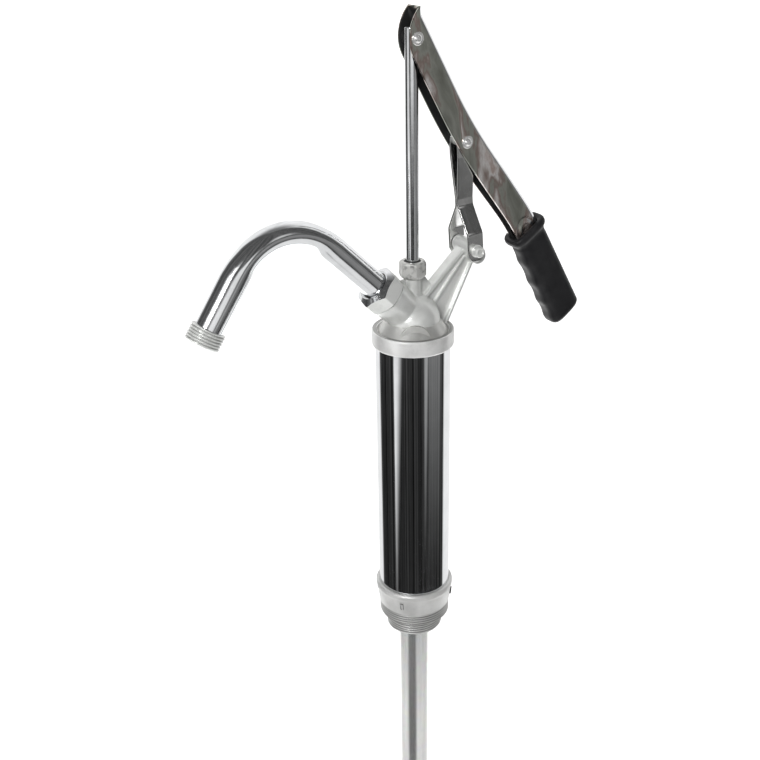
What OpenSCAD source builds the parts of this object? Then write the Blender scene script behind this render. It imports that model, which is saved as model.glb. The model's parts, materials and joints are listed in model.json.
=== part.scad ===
// Lever-action hand pump with a two-step bung adapter, a gooseneck spout and a telescoping suction tube.
// The origin is on the pump axis, on the seat of the large bung thread. +Z is up the pump.
// The lever works in the XZ plane: the fulcrum arm points to +X and the spout to -X.

/* [Bung adapter] */
// Major diameter of the large bung thread
bung_thread_d = 60.3; // [60:0.1:61]
// Length of the large bung thread
bung_thread_len = 11.5; // [10:0.5:13]
// Major diameter of the small bung thread
small_thread_d = 47.8; // [47:0.1:48.4]
// Length of the small bung thread
small_thread_len = 14; // [12:0.5:16]
// Diameter of the rolled rim that holds the cylinder
adapter_rim_d = 66.4; // [66:0.2:68]
// Height of the adapter above its seat
adapter_h = 21; // [19:0.5:24]

/* [Cylinder] */
// Outer diameter of the cylinder
cylinder_d = 60.3; // [60:0.1:60.4]
// Bore of the cylinder
cylinder_bore = 57.1; // [57:0.1:57.4]
// Length of cylinder that shows between the adapter and the head
cylinder_visible = 221; // [200:1:260]

/* [Head] */
// Diameter of the head's collar
collar_d = 65.6; // [65:0.2:68]
// Height of the head's collar
collar_h = 13.4; // [12:0.2:15]
// Radius of the head's dome
dome_r = 21.5; // [20.5:0.5:22.5]
// Height of the dome's centre over the collar's lower face
dome_z = 20.5; // [20:0.5:22]
// Height of the gland neck's top over the collar's lower face
neck_top = 64; // [62:0.5:66]
// Width across flats of the gland nut
gland_nut_af = 19.4; // [19:0.2:21]

/* [Lever and link] */
// Height of the rod pin over the bung seat, lever down
rod_pin_z = 477.5; // [475:0.5:480]
// Distance of the link pin from the pump axis, lever down
link_pin_x = 44; // [43:0.5:45]
// Height of the link pin over the bung seat, lever down
link_pin_z = 398.5; // [397:0.5:400]
// Distance of the fulcrum pin from the pump axis, lever down
fulcrum_x = 50; // [49:0.5:51]
// Height of the fulcrum pin over the bung seat, lever down
fulcrum_z = 313.5; // [312:0.5:315]
// Diameter of the lever's two rivets
rivet_d = 6; // [5.6:0.1:6.4]
// Diameter of the fulcrum pin
fulcrum_pin_d = 6.4; // [6:0.1:6.6]
// Sheet thickness of the lever's channel
lever_sheet = 1.8; // [1.5:0.1:2]
// Outer width of the channel at the rod pin
lever_w = 17; // [16.8:0.1:17.6]
// Outer width of the channel at the grip
lever_grip_w = 13; // [12.5:0.1:14]
// Sheet thickness of a link strap
strap_sheet = 2; // [1.8:0.1:2.2]
// Width of a link strap
strap_w = 14; // [13:0.2:15]

/* [Rod and piston] */
// Diameter of the piston rod
rod_d = 10; // [9.6:0.1:10]
// Height of the piston body's underside over the bung seat, rod up
piston_z = 200; // [190:1:205]
// Lift of the piston valve disc
piston_valve_lift = 3; // [2:0.5:4]
// Lift of the foot valve disc
foot_valve_lift = 4; // [2:0.5:4]

/* [Spout] */
// Outer diameter of the spout tube
spout_d = 21.4; // [21:0.1:21.6]
// Wall of the spout tube
spout_wall = 1.2; // [1:0.1:1.5]
// Tilt of the spout boss from upright
spout_tilt = 45; // [44:0.5:46]
// Bend radius of the gooseneck
spout_bend_r = 46; // [42:1:50]
// Angle that the gooseneck turns through
spout_bend = 101.5; // [95:0.5:105]
// Length along the boss axis from the dome's centre to the bend
spout_rise = 105; // [100:1:110]
// Length of the straight outlet
spout_outlet = 59; // [50:1:65]
// Major diameter of the hose thread
hose_thread_d = 27; // [26.8:0.1:27.2]
// Length of the hose thread
hose_thread_len = 12.5; // [11:0.5:14]
// Width across flats of the spout nut
spout_nut_af = 32; // [31.5:0.5:34]

/* [Suction tube] */
// Outer diameter of the upper suction tube
tube_d = 28; // [27.6:0.1:28.4]
// Bore of the upper suction tube
tube_bore = 25; // [24.8:0.1:25.2]
// Level of the upper tube's lower end
tube_bottom = -480; // [-520:5:-420]
// Length of the lower suction tube
lower_tube_len = 430; // [380:5:460]
// Length of lower tube that shows when it is pushed in
lower_tube_show = 30; // [20:1:40]

/* [Hidden] */
$fn = 96;

fit_gap = 0.05;
static_gap = 0.05;
valve_gap = 0.05;
adapter_shelf = 6.5;
gasket_h = 1.5;
head_z = adapter_h + cylinder_visible;
socket_h = 7.5;
cylinder_top = head_z + socket_h - gasket_h;
dome_cz = head_z + dome_z;
stuffing_r = 6.5;
shoulder_z = 11.4;
pad_r = 12.2;
pad_z = 10.8;
pad_face = 23.6;
neck_r = 6.6;
neck_thread_r = 7.8;
neck_thread_z = 55.2;
stuffing_z = 56.7;
stuffing_floor = head_z + stuffing_z;
follower_h = 3.5;
gland_nut_base = head_z + 55;
gland_nut_top = head_z + 69;

boss_r = 16;
boss_thread_r = 13.5;
boss_thread_end = 40;
spout_socket = 29;
spout_r = spout_d / 2;
spout_sides = 48;
bend_overlap = 0.01;
spout_nut_base = 34.5;
spout_nut_top = 49.5;
spout_nut_face_r = 12.9;
spout_nut_slope = 0.62;

lower_tube_r = tube_bore / 2 - 1.2;
lower_tube_wall = 1.4;

valve_seat_r = 9;
foot_disc_z = 7.5;
foot_disc_h = 3;
cage_bar_z = foot_disc_z + valve_gap + foot_disc_h + foot_valve_lift + 0.45;

rod_r = rod_d / 2;
rod_tail_r = 4;
piston_body_h = 6;
piston_top = piston_z + piston_body_h;
piston_disc_h = 2.5;
piston_port_r = 3;
piston_port_pitch_r = 13;
cylinder_r = cylinder_bore / 2;

lever_angle = atan2(link_pin_z - rod_pin_z, link_pin_x);
rivet_pitch = norm([link_pin_x, link_pin_z - rod_pin_z]);
lever_depth_head = 22;
lever_depth_grip = 24;
web_level = 13;
head_arc_r = 30;
head_arc_u = 11;
head_arc_end = 165.5;
bow_angle = 8.5;
bow_start = 55;
bow_len = 60;
bow_straight = 50;
bow_back = 30;
lever_end = 272;
plan_taper = 102;
grip_start = 188;
grip_end = 285.5;
grip_half_w = 14.6;
grip_half_y = 10;
grip_lip = 3;
grip_lip_len = 7;
grip_pocket_end = 275;

link_len = norm([fulcrum_x - link_pin_x, link_pin_z - fulcrum_z]);
link_lean = atan2(link_pin_x - fulcrum_x, link_pin_z - fulcrum_z);
strap_foot = 2.5;
clevis_y = 13.2;
waist_y = 1.3;
eye_y = lever_w / 2 - lever_sheet - strap_sheet / 2 - 0.3;
clevis_top = 13.5;
waist_low = 34;
waist_high = 40;
eye_low = 74;

slot_tilt = -57;
slot_half = 3.9;
slot_r = fulcrum_pin_d / 2 + 0.8;
slot_dx = 2.6;
slot_dz = -2.8;
slot_wall = 2.6;
arm_boss_y = 11.4;
arm_flange_y = 5;
arm_web_y = 1.6;
fin_y = 1.8;

// ---------- shared shapes ----------

module ring(outer_r, inner_r, h) {
    difference() {
        cylinder(r = outer_r, h = h);
        translate([0, 0, -1]) cylinder(r = inner_r, h = h + 2);
    }
}

// Hexagonal prism measured across its flats, with both ends chamfered by a cone
module hex(af, h, chamfer) {
    intersection() {
        rotate([0, 0, 30]) cylinder(d = af / cos(30), h = h, $fn = 6);
        union() {
            translate([0, 0, chamfer]) cylinder(r = af, h = h - 2 * chamfer);
            cylinder(r1 = af / 2 + 0.2, r2 = af / 2 + 0.2 + 1.8 * chamfer, h = chamfer);
            translate([0, 0, h - chamfer])
                cylinder(r1 = af / 2 + 0.2 + 1.8 * chamfer, r2 = af / 2 + 0.2, h = chamfer);
        }
    }
}

// Turned pin along Y, centred on the XZ plane
module pin_y(r, y_low, y_high) {
    translate([0, y_high, 0]) rotate([90, 0, 0]) cylinder(r = r, h = y_high - y_low);
}

// Extrudes an XZ outline along Y between two levels
module slab_y(y_low, y_high) {
    translate([0, y_high, 0]) rotate([90, 0, 0]) linear_extrude(y_high - y_low) children();
}

// ---------- bung adapter, cylinder and foot valve ----------

module adapter_lugs() {
    for (angle = [38, 140, 218, 320])
        rotate([0, 0, angle]) translate([31, -2.2, 6]) cube([2, 4.4, 7]);
}

module bung_adapter() {
    rim_r = adapter_rim_d / 2;
    color("gainsboro") difference() {
        union() {
            rotate_extrude() polygon([
                [0, 0], [bung_thread_d / 2 + 0.4, 0], [rim_r - 0.8, 15], [rim_r, 16.5], [rim_r, 19.2],
                [rim_r - 1.2, 20.6], [rim_r - 2.2, adapter_h], [0, adapter_h]]);
            translate([0, 0, -bung_thread_len]) cylinder(d = bung_thread_d, h = bung_thread_len + 1);
            translate([0, 0, -bung_thread_len - small_thread_len])
                cylinder(d = small_thread_d, h = small_thread_len + 1);
            adapter_lugs();
        }
        translate([0, 0, adapter_shelf]) cylinder(r = cylinder_d / 2 + static_gap, h = 30);
        translate([0, 0, 2]) cylinder(r = 16 + static_gap, h = 10);
        translate([0, 0, -8]) cylinder(r = 11, h = 20);
        translate([0, 0, -40]) cylinder(r = tube_d / 2 + static_gap, h = 34);
    }
}

module base_gasket() {
    color("dimgray") translate([0, 0, adapter_shelf])
        ring(cylinder_d / 2, cylinder_r - 0.5, gasket_h);
}

module pump_cylinder() {
    bottom = adapter_shelf + gasket_h;
    color("silver") translate([0, 0, bottom]) ring(cylinder_d / 2, cylinder_r, cylinder_top - bottom);
}

module head_gasket() {
    color("dimgray") translate([0, 0, cylinder_top]) ring(cylinder_d / 2, cylinder_r - 0.5, gasket_h);
}

module foot_valve_seat() {
    color("darkgoldenrod") translate([0, 0, 2]) ring(16, valve_seat_r, foot_disc_z - 2);
}

module foot_valve_cage() {
    color("silver") {
        translate([0, 0, adapter_shelf]) ring(20, 17, cage_bar_z - adapter_shelf + 1);
        for (angle = [0, 90])
            rotate([0, 0, angle]) translate([-18.5, -2.5, cage_bar_z]) cube([37, 5, 2]);
    }
}

module foot_valve_disc() {
    color("dimgray") translate([0, 0, foot_disc_z + valve_gap]) cylinder(r = 14, h = foot_disc_h);
}

// ---------- suction tube ----------

module upper_suction_tube() {
    color("lightgray") translate([0, 0, tube_bottom]) ring(tube_d / 2, tube_bore / 2, -tube_bottom - 6);
}

module tube_end_ferrule() {
    color("silver") translate([0, 0, tube_bottom - 3]) difference() {
        cylinder(r = tube_d / 2 + 1.5, h = 15);
        translate([0, 0, 3]) cylinder(r = tube_d / 2 + static_gap, h = 20);
        translate([0, 0, -1]) cylinder(r = lower_tube_r + fit_gap, h = 6);
    }
}

module lower_suction_tube() {
    bottom = tube_bottom - 3 - lower_tube_show;
    color("lightgray") translate([0, 0, bottom])
        ring(lower_tube_r, lower_tube_r - lower_tube_wall, lower_tube_len);
}

module tube_stop_ring() {
    top = tube_bottom - 3 - lower_tube_show + lower_tube_len;
    color("dimgray") translate([0, 0, top - 14])
        ring(tube_bore / 2 - fit_gap, lower_tube_r + 0.02, 10);
}

module inlet_strainer() {
    foot_r = lower_tube_r - lower_tube_wall - static_gap;
    bottom = tube_bottom - 3 - lower_tube_show - 12;
    color("dimgray") translate([0, 0, bottom]) difference() {
        union() {
            translate([0, 0, 2]) cylinder(r = foot_r, h = 22);
            cylinder(r = lower_tube_r, h = 11.95);
        }
        translate([0, 0, 2]) cylinder(r = foot_r - 1.6, h = 30);
        for (angle = [0:45:179])
            rotate([0, 0, angle]) translate([-20, -1.5, 3.5]) cube([40, 3, 6.5]);
    }
}

// ---------- head, gland and spout ----------

module spout_frame() {
    translate([0, 0, dome_cz]) rotate([0, -spout_tilt, 0]) children();
}

module outlet_frame() {
    spout_frame() translate([-spout_bend_r, 0, spout_rise]) rotate([0, -spout_bend, 0])
        translate([spout_bend_r, 0, 0]) children();
}

module slot_outline(r) {
    translate([fulcrum_x + slot_dx, fulcrum_z + slot_dz]) rotate(slot_tilt) union() {
        translate([-slot_half, 0]) circle(r);
        translate([slot_half, 0]) circle(r);
        translate([-slot_half, -r]) square([2 * slot_half, 2 * r]);
    }
}

// Straight rib of the arm between two XZ points, hanging below the line that joins them
module arm_rib(from, to, thick, half_y) {
    run = to - from;
    slab_y(-half_y, half_y) translate([from.x, head_z + from.y]) rotate(atan2(run.y, run.x))
        translate([0, -thick]) square([norm(run), thick]);
}

module fulcrum_arm() {
    arm_rib([9, 40.5], [47.5, 75.5], 3.6, arm_flange_y);
    arm_rib([16, 30], [50, 71], 2.4, 3.6);
    arm_rib([26.5, 11], [55, 67], 3, arm_flange_y);
    slab_y(-arm_web_y, arm_web_y)
        polygon([[9, head_z + 39], [47, head_z + 73], [55, head_z + 66], [27, head_z + 11],
            [10, head_z + 11]]);
    slab_y(-arm_boss_y, arm_boss_y) slot_outline(slot_r + slot_wall);
}

// Thin fin that ties the neck to the spout boss and the arm
module neck_fin() {
    slab_y(-fin_y, fin_y)
        polygon([[-22, head_z + 30], [-16.5, head_z + 39], [-13.2, head_z + 45.5], [-10.5, head_z + 54.5],
            [10.5, head_z + 54.5], [16, head_z + 46.8], [20, head_z + 30]]);
}

module head_casting() {
    r = collar_d / 2;
    translate([0, 0, head_z]) {
        rotate_extrude() polygon([
            [0, 0], [r - 0.6, 0], [r, 0.8], [r, collar_h - 0.7], [r - 0.6, collar_h], [r - 3.6, collar_h],
            [r - 4, collar_h - 0.4], [r - 4.3, shoulder_z], [r - 4.8, shoulder_z],
            [dome_r + 0.4, dome_z - 0.4], [dome_r, dome_z], [0, dome_z]]);
        translate([0, 0, 10]) cylinder(r = dome_r, h = dome_z - 10);
        translate([0, 0, dome_z]) intersection() {
            sphere(r = dome_r);
            cylinder(r = dome_r + 1, h = dome_r + 1);
        }
        translate([0, 0, 30]) cylinder(r = neck_r, h = neck_thread_z - 29);
        translate([0, 0, neck_thread_z]) cylinder(r = neck_thread_r, h = neck_top - neck_thread_z);
        intersection() {
            rotate([0, 0, 243]) translate([10, 0, pad_z]) rotate([0, 90, 0])
                cylinder(r = pad_r, h = pad_face - 10);
            translate([0, 0, 5]) cylinder(r = 40, h = 30);
        }
    }
    intersection() {
        spout_frame() union() {
            cylinder(r = boss_r, h = spout_nut_base - 0.5);
            cylinder(r = boss_thread_r, h = boss_thread_end);
        }
        translate([0, 0, head_z + 10.5]) cylinder(r = 60, h = 60);
    }
    fulcrum_arm();
    neck_fin();
}

module pump_head() {
    color("gainsboro") difference() {
        head_casting();
        translate([0, 0, head_z - 1]) cylinder(r = cylinder_d / 2 + static_gap, h = socket_h + 1);
        translate([0, 0, head_z - 1]) cylinder(r = 17.5, h = dome_z + 1);
        translate([0, 0, dome_cz]) sphere(r = 17.5);
        translate([0, 0, dome_cz]) cylinder(r = rod_r + fit_gap, h = 60);
        translate([0, 0, stuffing_floor]) cylinder(r = stuffing_r, h = 40);
        spout_frame() cylinder(r = spout_r - spout_wall, h = 60);
        spout_frame() translate([0, 0, spout_socket]) cylinder(r = spout_r + static_gap, h = 40);
        spout_frame() translate([0, 0, boss_thread_end - 3]) cylinder(r = 12.6, h = 10);
        slab_y(-20, 20) slot_outline(slot_r);
    }
}

module gland_packing() {
    color("dimgray") translate([0, 0, stuffing_floor])
        ring(stuffing_r - static_gap, rod_r + fit_gap, neck_top - follower_h + 1 - stuffing_z);
}

module gland_follower() {
    color("darkgoldenrod") translate([0, 0, head_z + neck_top - follower_h + 1])
        ring(stuffing_r - static_gap, rod_r + fit_gap, follower_h - 0.1);
}

module gland_nut() {
    h = gland_nut_top - gland_nut_base;
    color("darkgray") translate([0, 0, gland_nut_base]) difference() {
        union() {
            translate([0, 0, 3]) hex(gland_nut_af, h - 3, 0.5);
            cylinder(r1 = gland_nut_af / 2 - 0.9, r2 = gland_nut_af / 2 + 0.6, h = 3.6);
        }
        translate([0, 0, -1])
            cylinder(r = neck_thread_r + static_gap, h = head_z + neck_top + 2.5 - gland_nut_base);
        translate([0, 0, 5]) cylinder(r = rod_r + 0.9, h = 20);
    }
}

// Cross-section of the spout tube as a polygon of many sides
module spout_wall_section() {
    difference() {
        polygon([for (i = [0:spout_sides - 1]) spout_r * spoke(i)]);
        polygon([for (i = [0:spout_sides - 1]) (spout_r - spout_wall) * spoke(i)]);
    }
}

function spoke(i) = [cos(i * 360 / spout_sides), sin(i * 360 / spout_sides)];

module spout_tube() {
    color("silver") {
        spout_frame() {
            translate([0, 0, spout_socket + 0.5])
                linear_extrude(spout_rise - spout_socket - 0.5) spout_wall_section();
            translate([-spout_bend_r, 0, spout_rise]) rotate([90, 0, 0])
                rotate_extrude(angle = spout_bend + bend_overlap) translate([spout_bend_r, 0]) spout_wall_section();
        }
        outlet_frame() linear_extrude(spout_outlet - 0.8) spout_wall_section();
    }
}

module spout_seal() {
    color("dimgray") spout_frame() translate([0, 0, boss_thread_end - 2.95])
        ring(12.55, spout_r + static_gap, 2.9);
}

module spout_ferrule() {
    color("darkgoldenrod") spout_frame() translate([0, 0, boss_thread_end])
        ring(12.9, spout_r + static_gap, 4);
}

module spout_nut() {
    h = spout_nut_top - spout_nut_base;
    color("silver") spout_frame() translate([0, 0, spout_nut_base]) difference() {
        intersection() {
            hex(spout_nut_af, h, 1.6);
            cylinder(r1 = spout_nut_face_r + h / spout_nut_slope, r2 = spout_nut_face_r, h = h);
        }
        translate([0, 0, -1]) cylinder(r = boss_thread_r + static_gap, h = 11.6);
        cylinder(r = spout_r + 0.6, h = 30);
    }
}

module hose_end() {
    color("darkgray") outlet_frame() translate([0, 0, spout_outlet - hose_thread_len])
        ring(hose_thread_d / 2, spout_r + static_gap, hose_thread_len);
}

// ---------- rod, piston and piston valve ----------

module piston_rod() {
    rod_top = rod_pin_z + 7.5;
    color("whitesmoke") difference() {
        union() {
            translate([0, 0, piston_top]) cylinder(r = rod_r, h = rod_top - piston_top - 0.8);
            translate([0, 0, rod_top - 0.8]) cylinder(r1 = rod_r, r2 = rod_r - 0.8, h = 0.8);
            translate([0, 0, piston_z - 15]) cylinder(r = rod_tail_r, h = 16 + piston_body_h);
        }
        translate([0, 0, rod_pin_z]) pin_y(rivet_d / 2 + fit_gap, -20, 20);
    }
}

module piston_ports(z_low, h) {
    for (angle = [0:60:359])
        rotate([0, 0, angle]) translate([piston_port_pitch_r, 0, z_low]) cylinder(r = piston_port_r, h = h);
}

module piston_body() {
    color("darkgray") difference() {
        union() {
            translate([0, 0, piston_z + 4]) cylinder(r = cylinder_r - 0.8, h = piston_body_h - 4);
            translate([0, 0, piston_z]) cylinder(r = cylinder_r - 4.1, h = 5);
        }
        translate([0, 0, piston_z - 1]) cylinder(r = rod_tail_r + 0.02, h = 20);
        piston_ports(piston_z - 1, 20);
    }
}

module piston_cup() {
    color("saddlebrown") difference() {
        translate([0, 0, piston_z - 4]) cylinder(r = cylinder_r - fit_gap, h = 7.9);
        translate([0, 0, piston_z - 5]) cylinder(r = 17, h = 20);
        translate([0, 0, piston_z - 2]) cylinder(r = cylinder_r - 4, h = 20);
    }
}

module cup_follower() {
    color("darkgray") difference() {
        union() {
            translate([0, 0, piston_z - 7]) cylinder(r = 23, h = 3);
            translate([0, 0, piston_z - 5]) cylinder(r = 16.9, h = 4.95);
        }
        translate([0, 0, piston_z - 10]) cylinder(r = rod_tail_r + 0.02, h = 20);
        piston_ports(piston_z - 10, 20);
    }
}

module piston_nut() {
    color("darkgray") translate([0, 0, piston_z - 14]) difference() {
        hex(13, 6.9, 0.6);
        translate([0, 0, -1]) cylinder(r = rod_tail_r + 0.02, h = 20);
    }
}

module piston_valve_disc() {
    color("dimgray") translate([0, 0, piston_top + valve_gap])
        ring(19, rod_r + fit_gap, piston_disc_h);
}

module valve_stop_collar() {
    color("darkgray")
        translate([0, 0, piston_top + valve_gap + piston_disc_h + piston_valve_lift + 0.4])
            ring(9, rod_r + 0.02, 4);
}

// ---------- lever ----------

// The lever's own frame: the rod pin at the origin, X towards the link pin, Z towards the web
module lever_frame() {
    translate([0, 0, rod_pin_z]) rotate([0, -lever_angle, 0]) children();
}

// Height of the channel's bowed middle line at a distance u from the rod pin
function turn_rise(len, angle) = len * tan(angle / 2);
function bow_line(u) =
    let (a = bow_start, b = a + bow_len, c = b + bow_straight, d = c + bow_back,
         rise_b = turn_rise(bow_len, bow_angle), rise_c = rise_b + bow_straight * tan(bow_angle))
    u <= a ? 0
    : u <= b ? rise_b * pow((u - a) / bow_len, 2)
    : u <= c ? rise_b + (u - b) * tan(bow_angle)
    : u <= d ? rise_c + (u - c) * tan(bow_angle) * (1 - (u - c) / bow_back / 2)
    : rise_c + bow_back * tan(bow_angle) / 2;

function lever_depth(u) = lever_depth_head
    + (lever_depth_grip - lever_depth_head) * max(0, min(1, (u - bow_start) / 80));
function web_edge(u) = web_level + bow_line(u) + (lever_depth(u) - lever_depth_head) / 2;
function open_edge(u) = web_edge(u) - lever_depth(u);
function lever_stations(from) = [for (u = from; u < lever_end; u = u + 5) u];

module lever_outline() {
    arc_w = web_level - lever_depth_head + head_arc_r;
    web = concat([for (u = lever_stations(-15)) [u, web_edge(u)]], [[lever_end, web_edge(lever_end)]]);
    open = concat([[lever_end, open_edge(lever_end)]],
        [for (i = [len(lever_stations(15)) - 1:-1:0]) let (u = lever_stations(15)[i]) [u, open_edge(u)]]);
    head = [for (i = [0:14]) let (a = -90 - i * (head_arc_end - 90) / 14)
        [head_arc_u + head_arc_r * cos(a), arc_w + head_arc_r * sin(a)]];
    polygon(concat(web, open, head));
}

module web_cut_outline() {
    web = [for (u = lever_stations(-30)) [u, web_edge(u) - lever_sheet]];
    polygon(concat(web, [[lever_end + 1, web_edge(lever_end) - lever_sheet],
        [lever_end + 1, -60], [-30, -60]]));
}

// Plan of the channel, narrower at the grip, reduced by an inset on each side
module lever_plan(inset) {
    wide = lever_w / 2 - inset;
    slim = lever_grip_w / 2 - inset;
    translate([0, 0, -60]) linear_extrude(140)
        polygon([[-40, wide], [plan_taper, wide], [grip_start, slim], [lever_end + 5, slim],
            [lever_end + 5, -slim], [grip_start, -slim], [plan_taper, -wide], [-40, -wide]]);
}

module lever_channel() {
    color("silver") lever_frame() difference() {
        intersection() {
            slab_y(-lever_w, lever_w) lever_outline();
            lever_plan(0);
        }
        intersection() {
            slab_y(-lever_w, lever_w) web_cut_outline();
            lever_plan(lever_sheet);
        }
        pin_y(rivet_d / 2 + 0.02, -20, 20);
        translate([rivet_pitch, 0, 0]) pin_y(rivet_d / 2 + 0.02, -20, 20);
    }
}

// Rounded cross-section of the grip, half_w towards the web and half_y to each side
module grip_section(half_w, half_y) {
    power = 0.62;
    polygon([for (i = [0:31]) let (a = i * 360 / 32)
        [half_y * sign(cos(a)) * pow(abs(cos(a)), power),
         half_w * sign(sin(a)) * pow(abs(sin(a)), power)]]);
}

module grip_prism(from, to, half_w, half_y) {
    mid = web_edge(lever_end) - lever_depth_grip / 2;
    translate([from, 0, mid]) rotate([90, 0, 90]) linear_extrude(to - from)
        grip_section(half_w, half_y);
}

module lever_grip() {
    mid = web_edge(lever_end) - lever_depth_grip / 2;
    pocket_w = lever_depth_grip / 2 + 0.8;
    pocket_y = lever_grip_w / 2 + 0.1;
    color("black") lever_frame() difference() {
        union() {
            grip_prism(grip_start, grip_end - 3, grip_half_w, grip_half_y);
            grip_prism(grip_end - 4, grip_end, grip_half_w - 1.5, grip_half_y - 1.5);
            grip_prism(grip_start, grip_start + grip_lip_len, grip_half_w + grip_lip, grip_half_y + grip_lip);
        }
        translate([grip_start - 1, -pocket_y, mid - pocket_w])
            cube([grip_pocket_end - grip_start + 1, 2 * pocket_y, 2 * pocket_w]);
    }
}

// Rivet through both flanges with a domed head on a shoulder at each side
module lever_rivet() {
    flange = lever_w / 2 + 0.02;
    pin_y(rivet_d / 2, -flange - 0.5, flange + 0.5);
    for (side = [-1, 1]) rotate([0, 0, side > 0 ? 0 : 180]) translate([0, flange, 0]) rotate([-90, 0, 0]) {
        cylinder(r = 4.9, h = 0.9);
        cylinder(r1 = 4, r2 = 2.6, h = 2.2);
    }
}

module rod_pin() {
    color("whitesmoke") lever_frame() lever_rivet();
}

module link_pin() {
    color("whitesmoke") lever_frame() translate([rivet_pitch, 0, 0]) lever_rivet();
}

module rod_pin_washers() {
    space = lever_w / 2 - lever_sheet - rod_r - 0.1;
    color("darkgray") translate([0, 0, rod_pin_z]) for (side = [-1, 1])
        translate([0, side * (rod_r + 0.08 + space / 2), 0]) rotate([90, 0, 0])
            translate([0, 0, -space / 2]) ring(5, rivet_d / 2 + 0.05, space);
}

// ---------- link ----------

// The link's own frame: the fulcrum pin at the origin, Z towards the link pin
module link_frame() {
    translate([fulcrum_x, 0, fulcrum_z]) rotate([0, link_lean, 0]) children();
}

// Side outline of a strap, with both ends round
module strap_outline() {
    r = strap_w / 2;
    union() {
        translate([0, -strap_foot]) circle(r);
        translate([0, link_len]) circle(r);
        translate([-r, -strap_foot]) square([strap_w, link_len + strap_foot]);
    }
}

// Path of a strap across the link's width: clevis, slant, waist, taper and eye
module strap_path(side) {
    t = strap_sheet;
    low = -strap_foot - strap_w;
    high = link_len + strap_w;
    inner = [[clevis_y - t / 2, low], [clevis_y - t / 2, clevis_top], [waist_y - t / 2, waist_low],
        [waist_y - t / 2, waist_high], [eye_y - t / 2, eye_low], [eye_y - t / 2, high]];
    outer = [for (i = [5:-1:0]) inner[i] + [t, i == 1 || i == 2 ? 0.8 : 0]];
    rotate([90, 0, 90]) translate([0, 0, -20]) linear_extrude(40)
        polygon([for (p = concat(inner, outer)) [side * p.x, p.y]]);
}

module link_strap(side) {
    link_frame() difference() {
        intersection() {
            slab_y(-20, 20) strap_outline();
            strap_path(side);
        }
        pin_y(fulcrum_pin_d / 2 + 0.02, -30, 30);
        translate([0, 0, link_len]) pin_y(rivet_d / 2 + fit_gap, -30, 30);
    }
}

module front_link_strap() {
    color("gray") link_strap(-1);
}

module rear_link_strap() {
    color("gray") link_strap(1);
}

module link_spacer() {
    half = eye_y - strap_sheet / 2 - 0.05;
    color("darkgray") link_frame() translate([0, half, link_len]) rotate([90, 0, 0])
        ring(4.6, rivet_d / 2 + fit_gap, 2 * half);
}

module fulcrum_pin() {
    face = clevis_y + strap_sheet / 2 + 0.05;
    color("whitesmoke") translate([fulcrum_x, 0, fulcrum_z]) {
        pin_y(fulcrum_pin_d / 2, -face - 6.5, face + 1);
        pin_y(4.6, face, face + 2.4);
    }
}

module fulcrum_pin_cap() {
    face = clevis_y + strap_sheet / 2 + 0.05;
    color("silver") translate([fulcrum_x, -face, fulcrum_z]) rotate([90, 0, 0]) difference() {
        union() {
            cylinder(r = 5, h = 1.6);
            cylinder(r = 4.3, h = 6);
            translate([0, 0, 5.95]) cylinder(r1 = 4.3, r2 = 3.9, h = 0.5);
        }
        translate([0, 0, -1]) cylinder(r = fulcrum_pin_d / 2 + 0.02, h = 10);
    }
}

bung_adapter();
base_gasket();
pump_cylinder();
head_gasket();
pump_head();
gland_packing();
gland_follower();
gland_nut();
spout_tube();
spout_seal();
spout_ferrule();
spout_nut();
hose_end();
upper_suction_tube();
tube_end_ferrule();
foot_valve_seat();
foot_valve_cage();
foot_valve_disc();
lower_suction_tube();
tube_stop_ring();
inlet_strainer();
piston_rod();
valve_stop_collar();
piston_valve_disc();
piston_body();
piston_cup();
cup_follower();
piston_nut();
lever_channel();
lever_grip();
rod_pin();
rod_pin_washers();
link_pin();
link_spacer();
front_link_strap();
rear_link_strap();
fulcrum_pin();
fulcrum_pin_cap();
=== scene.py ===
import json
import math

import bmesh
import bpy
import numpy as np
from mathutils import Matrix, Vector


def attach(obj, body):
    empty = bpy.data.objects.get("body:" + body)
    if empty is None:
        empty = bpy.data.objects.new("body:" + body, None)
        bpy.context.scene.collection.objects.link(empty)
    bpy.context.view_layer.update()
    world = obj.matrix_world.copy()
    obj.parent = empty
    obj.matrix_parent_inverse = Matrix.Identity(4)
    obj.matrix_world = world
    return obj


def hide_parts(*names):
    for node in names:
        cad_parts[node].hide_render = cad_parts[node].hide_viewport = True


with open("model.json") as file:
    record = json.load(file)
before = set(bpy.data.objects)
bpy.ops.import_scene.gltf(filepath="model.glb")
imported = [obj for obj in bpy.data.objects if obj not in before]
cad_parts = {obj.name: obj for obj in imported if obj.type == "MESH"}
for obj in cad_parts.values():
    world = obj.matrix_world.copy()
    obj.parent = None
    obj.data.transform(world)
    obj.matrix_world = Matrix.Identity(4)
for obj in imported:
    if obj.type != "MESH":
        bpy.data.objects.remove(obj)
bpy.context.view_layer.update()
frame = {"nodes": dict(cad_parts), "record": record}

MM = 0.001

# ---------- sizes that repeat the CAD's, in millimetres ----------

HEAD_Z = 242.0
DOME_CZ = HEAD_Z + 20.5

LARGE_THREAD_R = 30.15
SMALL_THREAD_R = 23.9
HOSE_THREAD_R = 13.5
THREAD_PITCH = 2.209

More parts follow.
